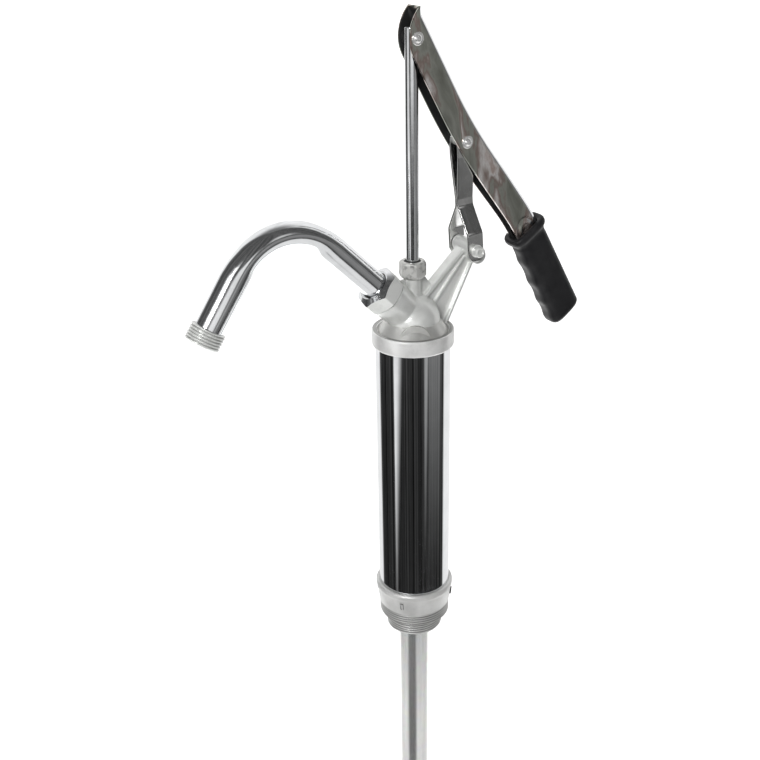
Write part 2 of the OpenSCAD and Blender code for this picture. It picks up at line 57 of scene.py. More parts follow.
ROD_R = 5.0
ROD_PIN = (0.0, 0.0, 477.5)
LINK_PIN = (44.0, 0.0, 398.5)
FULCRUM = (50.0, 0.0, 313.5)
LEVER_ANGLE = math.atan2(LINK_PIN[2] - ROD_PIN[2], LINK_PIN[0])
RIVET_PITCH = math.hypot(LINK_PIN[0], LINK_PIN[2] - ROD_PIN[2])
LINK_LEAN = math.atan2(LINK_PIN[0] - FULCRUM[0], LINK_PIN[2] - FULCRUM[2])
LINK_LEN = math.hypot(LINK_PIN[0] - FULCRUM[0], LINK_PIN[2] - FULCRUM[2])

SPOUT_TILT = math.radians(45.0)
SPOUT_R = 10.7
SPOUT_BORE_R = 9.5
BEND_R = 46.0
BEND = math.radians(101.5)
BEND_LEN = BEND_R * BEND
SPOUT_RISE = 105.0
SPOUT_OUTLET = 59.0


def turned(origin, angle):
    """Frame with its origin in mm and its Z axis tilted from upright towards +X by an angle"""
    return Matrix.Translation(Vector(origin)) @ Matrix.Rotation(angle, 4, "Y")


PUMP_FRAME = Matrix.Identity(4)
SPOUT_FRAME = turned((0, 0, DOME_CZ), -SPOUT_TILT)
OUTLET_FRAME = (
    SPOUT_FRAME
    @ Matrix.Translation((-BEND_R, 0, SPOUT_RISE))
    @ Matrix.Rotation(-BEND, 4, "Y")
    @ Matrix.Translation((BEND_R, 0, 0))
)
LEVER_FRAME = turned(ROD_PIN, -LEVER_ANGLE)
LINK_FRAME = turned(FULCRUM, LINK_LEAN)
ALONG_Y = Matrix.Rotation(math.pi / 2, 4, "X")


# ---------- mesh building ----------


def new_object(name, verts, faces, place=PUMP_FRAME):
    """Object from points in mm in a frame, with its normals made consistent"""
    mesh = bpy.data.meshes.new(name)
    mesh.from_pydata([tuple(v) for v in verts], [], faces)
    bm = bmesh.new()
    bm.from_mesh(mesh)
    bmesh.ops.remove_doubles(bm, verts=bm.verts, dist=1e-4)
    bmesh.ops.recalc_face_normals(bm, faces=bm.faces)
    bm.to_mesh(mesh)
    bm.free()
    mesh.transform(Matrix.Scale(MM, 4) @ place)
    obj = bpy.data.objects.new(name, mesh)
    bpy.context.scene.collection.objects.link(obj)
    return obj


def smooth(obj, sharp=35.0):
    """Smooth shading, with edges sharper than an angle in degrees left crisp"""
    obj.data.shade_smooth()
    obj.data.set_sharp_from_angle(angle=math.radians(sharp))
    return obj


def apply_modifiers(obj):
    """Makes what the modifiers do part of the mesh itself"""
    dg = bpy.context.evaluated_depsgraph_get()
    mesh = bpy.data.meshes.new_from_object(obj.evaluated_get(dg))
    obj.modifiers.clear()
    obj.data = mesh
    return obj


def bevel(obj, width, segments, angle):
    """Bevels the edges that are sharper than an angle in degrees"""
    mod = obj.modifiers.new("bevel", "BEVEL")
    mod.width = width * MM
    mod.segments = segments
    mod.limit_method = "ANGLE"
    mod.angle_limit = math.radians(angle)
    return apply_modifiers(obj)


def grid(name, rows, place=PUMP_FRAME, loop_rows=False, caps=False):
    """Surface over rows of points, each row closed on itself, with optional end caps"""
    rows = [[tuple(p) for p in row] for row in rows]
    n, m = len(rows), len(rows[0])
    faces = []
    for i in range(n if loop_rows else n - 1):
        for j in range(m):
            k, l = (i + 1) % n, (j + 1) % m
            faces.append((i * m + j, i * m + l, k * m + l, k * m + j))
    if caps:
        faces.append(tuple(range(m)))
        faces.append(tuple((n - 1) * m + j for j in range(m)))
    return new_object(name, [p for row in rows for p in row], faces, place)


def rounded(points, radius, closed=False, steps=4):
    """The corners of a 2D path rounded by arcs; radius is one number or one per corner"""
    pts = [Vector(p) for p in points]
    n = len(pts)
    radii = radius if isinstance(radius, (list, tuple)) else [radius] * n
    out = []
    for i, p in enumerate(pts):
        if radii[i] <= 0 or (not closed and i in (0, n - 1)):
            out.append(p)
            continue
        a, b = pts[i - 1] - p, pts[(i + 1) % n] - p
        cos_angle = max(-1.0, min(1.0, a.normalized().dot(b.normalized())))
        half = math.acos(cos_angle) / 2
        if half > math.pi / 2 - 0.02:
            out.append(p)
            continue
        cut = min(radii[i] / math.tan(half), a.length * 0.49, b.length * 0.49)
        start, end = p + a.normalized() * cut, p + b.normalized() * cut
        for s in range(steps + 1):
            t = s / steps
            out.append(start * (1 - t) ** 2 + p * 2 * t * (1 - t) + end * t ** 2)
    return out


def lathe(name, profile, place=PUMP_FRAME, segments=128, closed=True, shape=None):
    """Solid of revolution. The profile is (r, z) points; shape(theta, r, z) may change r"""
    rows = []
    for radius, z in profile:
        row = []
        for k in range(segments):
            t = 2 * math.pi * k / segments
            r = shape(t, radius, z) if shape else radius
            row.append((r * math.cos(t), r * math.sin(t), z))
        rows.append(row)
    return grid(name, rows, place, loop_rows=closed)


def tube(name, inner, outer, bottom, top, segments):
    """Plain tube. A point close to each end keeps the shading of its side straight up to there"""
    profile = rounded([(inner, bottom), (outer, bottom), (outer, bottom + 1.0), (outer, top - 1.0),
                       (outer, top), (inner, top)], [0.3, 0.3, 0.0, 0.0, 0.3, 0.3], closed=True)
    return smooth(lathe(name, profile, segments=segments))


def bolt_thread(z0, z1, major, depth, taper):
    """Radius change of a helical V thread between two levels, fading at both ends"""
    def shape(theta, r, z):
        if z <= z0 or z >= z1 or r < major - 0.35:
            return r
        phase = ((z / THREAD_PITCH - theta / (2 * math.pi)) % 1.0) * 2 - 1
        fade = min(1.0, (z - z0) / taper, (z1 - z) / taper)
        groove = min(1.0, max(0.0, 1.25 * (1 - abs(phase)) - 0.12))
        return r - depth * fade * (1 - groove)
    return shape


def levels(z0, z1, step):
    """Numbers from one to another, both included, about a step apart"""
    n = max(1, int(round(abs(z1 - z0) / step)))
    return [z0 + (z1 - z0) * i / n for i in range(n + 1)]


def hex_radius(theta, af):
    """Outline of a hexagon with slightly blunted corners; af is its width across the flats"""
    a = (theta + math.pi / 6) % (math.pi / 3) - math.pi / 6
    flat, corner = af / 2 / math.cos(a), af / math.sqrt(3) * 0.985
    return (flat ** -90 + corner ** -90) ** (-1 / 90)


def nut(name, place, af, h, bore, top, bottom, slope, turn):
    """Hexagon nut of height h with a conical chamfer at both ends, starting at radii top and bottom"""
    rows = []
    count = 144
    for k in range(count):
        t = 2 * math.pi * k / count
        r = hex_radius(t + turn, af)
        low = max(0.0, r - bottom) * slope
        high = h - max(0.0, r - top) * slope
        row = [(bore, 0.5), (bore + 0.4, 0.0), (bottom, 0.0)]
        row += [(bottom + (r - bottom) * i / 3, low * i / 3) for i in (1, 2, 3) if r > bottom]
        row += [(bottom, 0.0)] * (6 - len(row))
        row += [(r, low + (high - low) * i / 4) for i in (1, 2, 3, 4)]
        if r > top:
            row += [(top + (r - top) * i / 3, h - (h - high) * i / 3) for i in (2, 1)]
        else:
            row += [(top, h)] * 2
        row += [(top, h), (bore + 0.6, h), (bore, h - 0.6)]
        rows.append([(p * math.cos(t), p * math.sin(t), z) for p, z in row])
    return grid(name, rows, place, loop_rows=True)


def prism(name, outline, y_low, y_high, place=PUMP_FRAME):
    """XZ outline extruded along Y"""
    n = len(outline)
    verts = [(p[0], y, p[1]) for y in (y_low, y_high) for p in outline]
    faces = [tuple(range(n)), tuple(range(n, 2 * n))]
    faces += [(i, (i + 1) % n, n + (i + 1) % n, n + i) for i in range(n)]
    return new_object(name, verts, faces, place)


def join(name, parts):
    """One object out of several"""
    bm = bmesh.new()
    for part in parts:
        bm.from_mesh(part.data)
        bpy.data.objects.remove(part)
    mesh = bpy.data.meshes.new(name)
    bm.to_mesh(mesh)
    bm.free()
    obj = bpy.data.objects.new(name, mesh)
    bpy.context.scene.collection.objects.link(obj)
    return obj


def cast_skin(obj, voxel, iterations):
    """Melts overlapping closed shapes into one skin with small fillets, as a casting has"""
    mod = obj.modifiers.new("remesh", "REMESH")
    mod.mode = "VOXEL"
    mod.voxel_size = voxel * MM
    relax = obj.modifiers.new("relax", "SMOOTH")
    relax.factor = 0.5
    relax.iterations = iterations
    return apply_modifiers(obj)


def cut(obj, cutter):
    """Takes the cutter away from the object"""
    mod = obj.modifiers.new("cut", "BOOLEAN")
    mod.operation = "DIFFERENCE"
    mod.solver = "EXACT"
    mod.object = cutter
    apply_modifiers(obj)
    bpy.data.objects.remove(cutter)
    return obj


def off_axis(at):
    """Distance of a place from the Z axis of its frame"""
    return math.hypot(at.x, at.y)


def mark_grooves(obj, place, spans):
    """Stores how deep each vertex lies below the crests of a thread, for the painted shade in its grooves
    """
    back = (Matrix.Scale(MM, 4) @ place).inverted()
    depth = obj.data.attributes.new("groove", "FLOAT", "POINT")
    for vertex, value in zip(obj.data.vertices, depth.data):
        at = back @ vertex.co
        r = off_axis(at)
        for z0, z1, major, deep in spans:
            if z0 < at.z < z1 and r > major - 2.5:
                value.value = max(0.0, min(1.0, (major - r) / deep))


# ---------- materials ----------


class Nodes:
    """Short way to build a node tree. Inputs are named, or numbered as i0, i1 and so on, and a name that
    starts with an underscore is a setting of the node."""

    def __init__(self, tree):
        self.tree = tree

    def add(self, kind, **inputs):
        node = self.tree.nodes.new(kind)
        for key, value in inputs.items():
            if key.startswith("_"):
                setattr(node, key[1:], value)
            else:
                self.put(node, key.replace("_", " "), value)
        return node

    def put(self, node, key, value):
        numbered = key[0] == "i" and key[1:].isdigit()
        socket = node.inputs[int(key[1:])] if numbered else node.inputs[key]
        if isinstance(value, bpy.types.NodeSocket):
            self.tree.links.new(value, socket)
        elif isinstance(value, bpy.types.Node):
            self.tree.links.new(value.outputs[0], socket)
        else:
            socket.default_value = value

    def noise(self, coords, scale, detail, stretch=None, roughness=0.55):
        if stretch:
            coords = self.add("ShaderNodeMapping", Vector=coords, Scale=stretch)
        return self.add("ShaderNodeTexNoise", Vector=coords, Scale=scale, Detail=detail,
                        Roughness=roughness).outputs["Fac"]

    def ramp(self, fac, stops):
        node = self.add("ShaderNodeValToRGB", Fac=fac)
        elements = node.color_ramp.elements
        while len(elements) < len(stops):
            elements.new(0.5)
        for element, (pos, color) in zip(elements, stops):
            element.position = pos
            rgb = color if isinstance(color, tuple) else (color, color, color)
            element.color = (*rgb, 1.0)
        return node.outputs["Color"]

    def math(self, operation, a, b=0.0):
        return self.add("ShaderNodeMath", _operation=operation, i0=a, i1=b).outputs[0]

    def multiply(self, factor, a, b):
        """Color a times color b, as strongly as the factor says"""
        return self.add("ShaderNodeMix", _data_type="RGBA", _blend_type="MULTIPLY",
                        i0=factor, i6=a, i7=b).outputs[2]

    def span(self, fac, low, high, from_low=0.3, from_high=0.7):
        return self.add("ShaderNodeMapRange", Value=fac, From_Min=from_low, From_Max=from_high,
                        To_Min=low, To_Max=high).outputs[0]

    def bump(self, height, distance, normal=None):
        node = self.add("ShaderNodeBump", Height=height, Distance=distance, Strength=1.0)
        if normal is not None:
            self.put(node, "Normal", normal)
        return node.outputs[0]


def material(name, metallic, roughness, specular=0.5):
    """Material with its node builder, its shader and the object coordinates"""
    mat = bpy.data.materials.new(name)
    mat.use_nodes = True
    n = Nodes(mat.node_tree)
    shader = mat.node_tree.nodes["Principled BSDF"]
    shader.inputs["Metallic"].default_value = metallic
    shader.inputs["Roughness"].default_value = roughness
    shader.inputs["Specular IOR Level"].default_value = specular
    return mat, n, shader, n.add("ShaderNodeTexCoord").outputs["Object"]


def polished(name, light, dark, rough, wave=0.00004):
    """Bright plated metal, a little wavy, with fine marks drawn along one direction"""
    mat, n, shader, at = material(name, 1.0, rough[0])
    cloud = n.noise(at, 60.0, 6.0)
    n.put(shader, "Base Color", n.ramp(cloud, [(0.3, dark), (0.7, light)]))
    n.put(shader, "Roughness", n.span(n.noise(at, 140.0, 5.0), *rough))
    lines = n.noise(at, 900.0, 3.0, (1.0, 1.0, 0.02))
    fine = n.bump(lines, 0.000012)
    n.put(shader, "Normal", n.bump(n.noise(at, 38.0, 2.0, (1.0, 1.0, 0.35)), wave, normal=fine))
    return mat


def satin_cast(name, light, dark, rough, grain=0.00005, metallic=0.6, patch=45.0):
    """Die-cast metal, blasted satin, mottled, with small pits, and painted shade in the grooves of
    threads
    """
    mat, n, shader, at = material(name, metallic, rough[0])
    cloud = n.noise(at, patch, 8.0, roughness=0.6)
    lightest = tuple(min(1.0, c * 1.06) for c in light)
    base = n.ramp(cloud, [(0.28, dark), (0.5, light), (0.75, lightest)])
    pits = n.noise(at, 1500.0, 2.0)
    pitted = n.multiply(0.5, base, n.ramp(pits, [(0.30, 0.90), (0.48, 1.0)]))
    groove = n.add("ShaderNodeAttribute", _attribute_name="groove").outputs["Fac"]
    # painted shade: vertices deep in a thread's grooves are darkened, standing in for the shade there
    painted_groove_shade = n.ramp(groove, [(0.20, 1.0), (0.85, 0.28)])
    n.put(shader, "Base Color", n.multiply(1.0, pitted, painted_groove_shade))
    n.put(shader, "Roughness", n.span(n.noise(at, 220.0, 6.0), *rough))
    coarse = n.bump(n.noise(at, 260.0, 4.0), grain)
    n.put(shader, "Normal", n.bump(pits, grain * 0.6, normal=coarse))
    return mat


def streaked(name, light, dark, rough):
    """Galvanised drawn tube: streaks along its length over a faint crystal pattern"""
    mat, n, shader, at = material(name, 0.85, rough[0])
    streak = n.noise(at, 300.0, 6.0, (1.0, 1.0, 0.03), 0.7)
    cells = n.add("ShaderNodeTexVoronoi", Vector=at, Scale=160.0).outputs["Color"]
    base = n.ramp(streak, [(0.3, dark), (0.62, light)])
    n.put(shader, "Base Color", n.multiply(0.05, base, cells))
    n.put(shader, "Roughness", n.span(n.noise(at, 90.0, 6.0, (1.0, 1.0, 0.2)), *rough))
    n.put(shader, "Normal", n.bump(streak, 0.00003))
    return mat


def turned_brass():
    """Brass with fine rings from the lathe"""
    mat, n, shader, at = material("brass", 1.0, 0.25)
    rings = n.noise(at, 700.0, 3.0, (0.05, 0.05, 1.0))
    n.put(shader, "Base Color", n.ramp(rings, [(0.3, (0.52, 0.36, 0.15)),
                                               (0.7, (0.74, 0.56, 0.27))]))
    n.put(shader, "Roughness", n.span(n.noise(at, 120.0, 5.0), 0.30, 0.42))
    n.put(shader, "Normal", n.bump(rings, 0.00002))
    return mat


def moulded_rubber(name, light, dark, rough):
    """Dark rubber with a fine grain over a coarser one"""
    mat, n, shader, at = material(name, 0.0, rough[0], 0.30)
    n.put(shader, "Base Color", n.ramp(n.noise(at, 70.0, 6.0), [(0.3, dark), (0.72, light)]))
    n.put(shader, "Roughness", n.span(n.noise(at, 160.0, 6.0), *rough))
    grain = 0.00003
    skin = n.bump(n.noise(at, 1300.0, 3.0), grain)
    n.put(shader, "Normal", n.bump(n.noise(at, 130.0, 4.0), grain * 2.5, normal=skin))
    return mat


def oiled_leather():
    """Brown leather with a cell pattern, for the piston's cup"""
    mat, n, shader, at = material("cup_leather", 0.0, 0.5, 0.4)
    cells = n.add("ShaderNodeTexVoronoi", Vector=at, Scale=900.0,
                  _feature="DISTANCE_TO_EDGE").outputs[0]
    n.put(shader, "Base Color", n.ramp(n.noise(at, 90.0, 6.0),
                                       [(0.3, (0.16, 0.085, 0.04)), (0.7, (0.34, 0.20, 0.10))]))
    n.put(shader, "Roughness", n.span(n.noise(at, 200.0, 4.0), 0.38, 0.6))
    n.put(shader, "Normal", n.bump(n.span(cells, 0.0, 1.0, 0.0, 0.12), 0.00005))
    return mat


def smeared_chrome():
    """Thin, cloudy chrome over pressed steel: olive grey, with pale and brown smears"""
    mat, n, shader, at = material("lever_chrome", 1.0, 0.12)
    coords = n.add("ShaderNodeMapping", Vector=at, Rotation=(0.0, math.radians(-61.0), 0.0),
                   Scale=(1.0, 1.0, 0.32))
    smear = n.add("ShaderNodeTexNoise", Vector=coords, Scale=24.0, Detail=5.0, Roughness=0.52,
                  Distortion=2.2).outputs["Fac"]
    n.put(shader, "Base Color", n.ramp(smear, [(0.32, (0.34, 0.35, 0.30)), (0.46, (0.58, 0.59, 0.53)),
                                               (0.51, (0.48, 0.38, 0.34)), (0.59, (0.90, 0.87, 0.85)),
                                               (0.66, (0.50, 0.40, 0.36)), (0.74, (0.86, 0.84, 0.83))]))
    n.put(shader, "Metallic", n.span(smear, 1.0, 0.80, 0.50, 0.64))
    n.put(shader, "Roughness", n.span(smear, 0.10, 0.26, 0.35, 0.70))
    lines = n.noise(at, 700.0, 3.0, (0.05, 1.0, 0.05))
    n.put(shader, "Normal", n.bump(n.noise(at, 30.0, 2.0), 0.00012, normal=n.bump(lines, 0.00001)))
    return mat


# one material for each material slot of the record
MATERIALS = {
    "chrome": polished("chrome", (0.86, 0.87, 0.88), (0.78, 0.79, 0.80), (0.02, 0.06)),
    "cast_zinc": satin_cast("cast_zinc", (0.78, 0.79, 0.77), (0.64, 0.65, 0.63), (0.30, 0.40)),
    "galvanised_tube": streaked("galvanised_tube", (0.88, 0.88, 0.87), (0.76, 0.76, 0.75), (0.18, 0.25)),
    "zinc_plated_steel": satin_cast("zinc_plated_steel", (0.64, 0.64, 0.62), (0.17, 0.17, 0.165),
                                    (0.30, 0.46), 0.00018, 0.6, 190.0),
    "stamped_steel": polished("stamped_steel", (0.80, 0.80, 0.79), (0.62, 0.62, 0.61),
                              (0.10, 0.24), 0.00010),
    "brass": turned_brass(),
    "grip_rubber": moulded_rubber("grip_rubber", (0.016, 0.016, 0.017), (0.006, 0.006, 0.007),
                                  (0.34, 0.50)),
    "seal_rubber": moulded_rubber("seal_rubber", (0.05, 0.05, 0.05), (0.02, 0.02, 0.02), (0.55, 0.75)),
    "cup_leather": oiled_leather(),
}

# finishes of single pieces, or of some of their faces; some of them are darker copies that paint shade on
# them
lever_chrome = smeared_chrome()
spout_chrome = polished("spout_chrome", (0.84, 0.85, 0.86), (0.74, 0.75, 0.76), (0.10, 0.17), 0.00010)
rod_chrome = polished("rod_chrome", (0.84, 0.85, 0.86), (0.70, 0.71, 0.72), (0.08, 0.16), 0.00001)
collar_cast = satin_cast("collar_cast", (0.78, 0.78, 0.77), (0.60, 0.60, 0.59),
                         (0.30, 0.38), 0.00002, 0.5)
# darker copy of the cast metal: painted shade on the dome's shoulder and its pad
shoulder_cast_painted_shade = satin_cast("shoulder_cast_painted_shade", (0.62, 0.62, 0.60), (0.48, 0.48, 0.46),
                           (0.32, 0.44), metallic=0.7)
# dark copy of the cast metal: painted shade and reflection on the flat top of the collar's rim
rim_top_painted_shade = satin_cast("rim_top_painted_shade", (0.36, 0.36, 0.35), (0.26, 0.26, 0.25), (0.30, 0.42), 0.00003, 0.8)
# duller copy of the cast metal for the bung adapter; its darker colour is painted shade
adapter_cast_painted_shade = satin_cast("adapter_cast_painted_shade", (0.62, 0.62, 0.61), (0.49, 0.49, 0.48),
                          (0.32, 0.46), 0.00006, 0.5)
nut_satin = satin_cast("nut_satin", (0.82, 0.83, 0.81), (0.66, 0.67, 0.65), (0.30, 0.40), 0.00003, 0.55)
rivet_steel = satin_cast("rivet_steel", (0.92, 0.92, 0.91), (0.74, 0.74, 0.73),
                         (0.16, 0.25), 0.00002, 0.85)
# near-black: painted shade, for the inside of the lever's channel, the sides of the adapter's frames and
# the washers
painted_shade_black = satin_cast("painted_shade_black", (0.012, 0.012, 0.012), (0.005, 0.005, 0.005),
                          (0.45, 0.65), 0.00004, 0.0)


def piece(obj, body, slot, nodes=(), mat=None):
    """A visible piece on its body, in its material, in place of the CAD nodes that it stands for"""
    obj.data.materials.clear()
    obj.data.materials.append(mat or MATERIALS[slot])
    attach(obj, body)
    if nodes:
        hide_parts(*nodes)
    return obj


def paint_faces(obj, mat, chosen, place):
    """Gives a second material to the faces that are chosen by their place and direction"""
    obj.data.materials.append(mat)
    back = (Matrix.Scale(MM, 4) @ place).inverted()
    turn = place.to_3x3().inverted()
    for face in obj.data.polygons:
        if chosen(back @ face.center, (turn @ face.normal).normalized()):
            face.material_index = len(obj.data.materials) - 1


for part in frame["record"]["subparts"]:
    node = frame["nodes"][part["node"]]
    node.data.materials.clear()
    node.data.materials.append(MATERIALS[part["material_slot"]])

# ---------- bung adapter ----------


def adapter():
    """Skirt, large thread and small thread, with the bore that the suction tube is held in"""
    skirt = rounded([(30.55, 0.0), (32.55, 15.0), (33.18, 16.4), (33.18, 19.3), (32.2, 20.7),
                     (30.9, 21.0)], [0.0, 1.2, 0.8, 1.0, 0.8, 0.0], steps=5)
    profile = [(30.2, 20.7), (30.2, 6.5), (16.05, 6.5), (16.05, 2.0), (11.0, 2.0), (11.0, -6.0),
               (14.05, -6.0), (14.05, -25.2), (14.5, -25.5), (22.6, -25.5)]
    profile += [(SMALL_THREAD_R, z) for z in levels(-24.6, -12.4, 0.2)]
    profile += [(SMALL_THREAD_R, -11.9), (24.4, -11.5), (28.6, -11.5)]
    profile += [(LARGE_THREAD_R, z) for z in levels(-10.4, -0.9, 0.2)]
    profile += [(29.7, -0.5), (29.7, -0.1)] + skirt
    small = bolt_thread(-25.4, -12.0, SMALL_THREAD_R, 1.05, 0.8)
    large = bolt_thread(-11.2, -0.6, LARGE_THREAD_R, 1.05, 0.8)
    obj = lathe("bung_adapter_cast", profile, segments=240,
                shape=lambda t, r, z: small(t, r, z) if z < -11.7 else large(t, r, z))
    mark_grooves(obj, PUMP_FRAME, [(-25.2, -12.2, SMALL_THREAD_R, 1.0),
                                   (-11.3, -0.5, LARGE_THREAD_R, 1.0)])
    return smooth(obj, 40.0)


def adapter_marks():
    """Four plain raised frames on the skirt"""
    parts = []
    for angle in (38, 140, 218, 320):
        outline = rounded([(-1.6, 5.6), (1.6, 5.6), (1.6, 12.0), (-1.6, 12.0)], 0.7, closed=True)
        inner = rounded([(-0.75, 6.6), (0.75, 6.6), (0.75, 11.0), (-0.75, 11.0)], 0.5, closed=True)
        turn = Matrix.Rotation(math.radians(angle - 90), 4, "Z")
        n = len(outline)
        verts = []
        for rim, y in ((outline, 31.2), (outline, 32.45), (inner, 32.45), (inner, 31.7)):
            verts += [(p[0], y + 0.10 * (p[1] - 5.6), p[1]) for p in rim]
        faces = [tuple(range(3 * n, 4 * n))]
        for k in range(3):
            low, high = k * n, (k + 1) * n
            faces += [(low + i, low + (i + 1) % n, high + (i + 1) % n, high + i) for i in range(n)]
        parts.append(new_object("lug", verts, faces, turn))
    return smooth(join("adapter_cast_lugs", parts), 30.0)


def faces_sideways(at, normal):
    return abs(normal.x * at.x + normal.y * at.y) < 0.5 * off_axis(at)


piece(adapter(), "pump_body", "cast_zinc", ["bung_adapter"], adapter_cast_painted_shade)
marks = piece(adapter_marks(), "pump_body", "cast_zinc", mat=adapter_cast_painted_shade)
# the side walls of the raised frames are painted near-black, as shade
paint_faces(marks, painted_shade_black, faces_sideways, PUMP_FRAME)

# ---------- cylinder ----------

cylinder = tube("cylinder_tube", inner=28.55, outer=30.15, bottom=8.0, top=248.0, segments=256)
piece(cylinder, "pump_body", "chrome", ["pump_cylinder"])

# ---------- pump head ----------


def on_head(points):
    """Points given by their height above the foot of the head, moved to its level"""
    return [(x, h + HEAD_Z) for x, h in points]


def head_collar():
    """Collar that grips the cylinder, its rim and the shoulder that rises from it to the dome"""
    top = rounded([(30.2, 0.0), (32.0, 0.0), (32.8, 1.2), (32.8, 12.5), (32.0, 13.4), (29.3, 13.4),
                   (28.7, 12.9), (28.4, 11.3), (28.0, 11.3), (21.9, 20.3), (21.2, 20.7), (20.0, 20.8)],
                  [0.0, 0.6, 0.8, 0.7, 0.5, 0.5, 0.3, 0.0, 0.0, 0.3, 0.0, 0.0], steps=5)
    profile = [(30.2, 7.4)] + top + [(20.0, 7.4)]
    return smooth(lathe("pump_head_collar", on_head(profile), segments=224), 30.0)


def head_pad():
    """Flat round pad cast on the shoulder of the dome"""
    radius = 12.2
    outline = [(radius * math.cos(a), HEAD_Z + 10.8 + radius * math.sin(a))
               for a in np.linspace(-0.35, math.pi + 0.35, 49)]
    pad = prism("pump_head_pad", outline, -23.6, -14.0, Matrix.Rotation(math.radians(-27.0), 4, "Z"))
    return smooth(bevel(pad, 0.35, 3, 50.0), 30.0)


def rib(start, end, thick, half_y):
    """Straight rib of the arm between two XZ points, hanging below the line that joins them"""
    a, b = Vector(start), Vector(end)
    side = Vector((b - a).yx).normalized()
    down = Vector((side.x, -side.y)) * thick
    return prism("rib", on_head([a, b, b + down, a + down]), -half_y, half_y)


def slot_outline(r):
    """Outline of the slot for the fulcrum pin, or of the eye round it, with ends of radius r"""
    tilt = math.radians(-57)
    centre, half_length, count = Vector((52.6, 310.7)), 3.9, 14
    along = Vector((math.cos(tilt), math.sin(tilt)))
    across = Vector((-along.y, along.x))
    out = []
    for side in (1, -1):
        for i in range(count + 1):
            a = -math.pi / 2 + math.pi * i / count
            reach = half_length + r * math.cos(a)
            out.append(centre + side * (along * reach + across * r * math.sin(a)))
    return out


def head_parts():
    """The overlapping closed shapes that the casting is melted together from"""
    dome = [(0.0, 4.0), (21.2, 4.0), (21.2, 19.0)]
    dome += [(21.5 * math.cos(a), 20.5 + 21.5 * math.sin(a)) for a in np.linspace(0.0, math.pi / 2, 20)]
    neck = [(0.0, 30.0), (7.6, 30.0), (7.3, 41.5), (6.6, 43.0), (6.5, 55.3), (7.7, 55.6), (7.7, 63.9),
            (0.0, 64.0)]
    boss = [(0.0, 2.0), (14.5, 2.0), (15.6, 22.0), (16.0, 27.0), (16.0, 34.0), (13.5, 34.0), (13.5, 40.0),
            (0.0, 40.0)]
    fin = [(-22.0, 30.0), (-16.5, 39.0), (-13.2, 45.5), (-10.5, 54.5), (10.5, 54.5), (16.0, 46.8),
           (20.0, 30.0)]
    panel = [(9.0, 39.0), (47.0, 73.0), (55.0, 66.0), (27.0, 11.0), (10.0, 11.0)]
    return [
        lathe("dome", on_head(dome), segments=96, closed=False),
        lathe("neck", on_head(neck), segments=64, closed=False),
        lathe("boss", boss, SPOUT_FRAME, segments=72, closed=False),
        prism("fin", on_head(fin), -1.8, 1.8),
        rib((8.0, 39.6), (47.8, 75.8), 3.2, 5.0),
        rib((15.0, 29.0), (50.0, 71.0), 2.4, 3.7),
        rib((26.3, 10.5), (55.2, 67.2), 2.8, 5.0),
        prism("panel", on_head(panel), -1.7, 1.7),
        prism("eye", slot_outline(6.6), -11.4, 11.4),
    ]


def head_body():
    """Dome, gland neck, spout boss and ribbed arm as one casting, with its bores cut"""
    body = cast_skin(join("pump_head_body", head_parts()), 0.42, 5)
    rod_bore = [(0.0, -5.0), (17.4, -5.0), (17.4, 20.0), (5.1, 36.0), (5.1, 47.0), (5.1, 56.7),
                (6.5, 56.7), (6.5, 70.0), (0.0, 70.0)]
    boss_bore = [(0.0, 6.0), (9.5, 6.0), (9.5, 29.0), (10.75, 29.0), (10.75, 37.0), (12.6, 37.0),
                 (12.6, 50.0), (0.0, 50.0)]
    cut(body, lathe("rod_bore", on_head(rod_bore), segments=64, closed=False))
    cut(body, lathe("boss_bore", boss_bore, SPOUT_FRAME, 64, closed=False))
    cut(body, prism("slot", slot_outline(4.0), -20, 20))
    return smooth(body, 50.0)


collar = piece(head_collar(), "pump_body", "cast_zinc", mat=collar_cast)
# the shoulder inside the rim gets the darker copy, as painted shade
paint_faces(collar, shoulder_cast_painted_shade, lambda at, normal: off_axis(at) < 28.3, PUMP_FRAME)
# the flat top of the rim is painted dark, as shade
paint_faces(collar, rim_top_painted_shade, lambda at, normal: normal.z > 0.8 and off_axis(at) > 28.4, PUMP_FRAME)
piece(head_pad(), "pump_body", "cast_zinc", mat=shoulder_cast_painted_shade)
piece(head_body(), "pump_body", "cast_zinc", ["pump_head"])

# ---------- gland nut, spout nut, spout and hose end ----------


def gland():
    """Small nut that presses the rod's packing together"""
    place = Matrix.Translation((0, 0, HEAD_Z + 55.0))
    obj = nut("gland_nut_hex", place, af=19.4, h=14.0, bore=6.5, top=9.0, bottom=8.0, slope=0.95,
              turn=math.radians(16))
    return smooth(bevel(obj, 0.3, 2, 25.0), 28.0)


def wiper():
    """Black wiper ring round the rod, in the mouth of the gland nut: rubber packing raised into view, and
    painted shade for the dark gap there
    """
    profile = [(5.06, 66.0), (6.4, 66.0), (6.4, 68.5), (6.0, 69.0), (5.3, 69.0), (5.06, 68.7)]
    return smooth(lathe("gland_wiper_ring", on_head(profile), segments=64), 40.0)


def spout_nut():
    """Large nut that holds the spout in its boss"""
    place = SPOUT_FRAME @ Matrix.Translation((0, 0, 34.5))
    obj = nut("spout_nut_hex", place, af=32.0, h=15.0, bore=11.1, top=12.9, bottom=15.9, slope=0.62,
              turn=math.radians(12))
    return smooth(obj, 24.0)


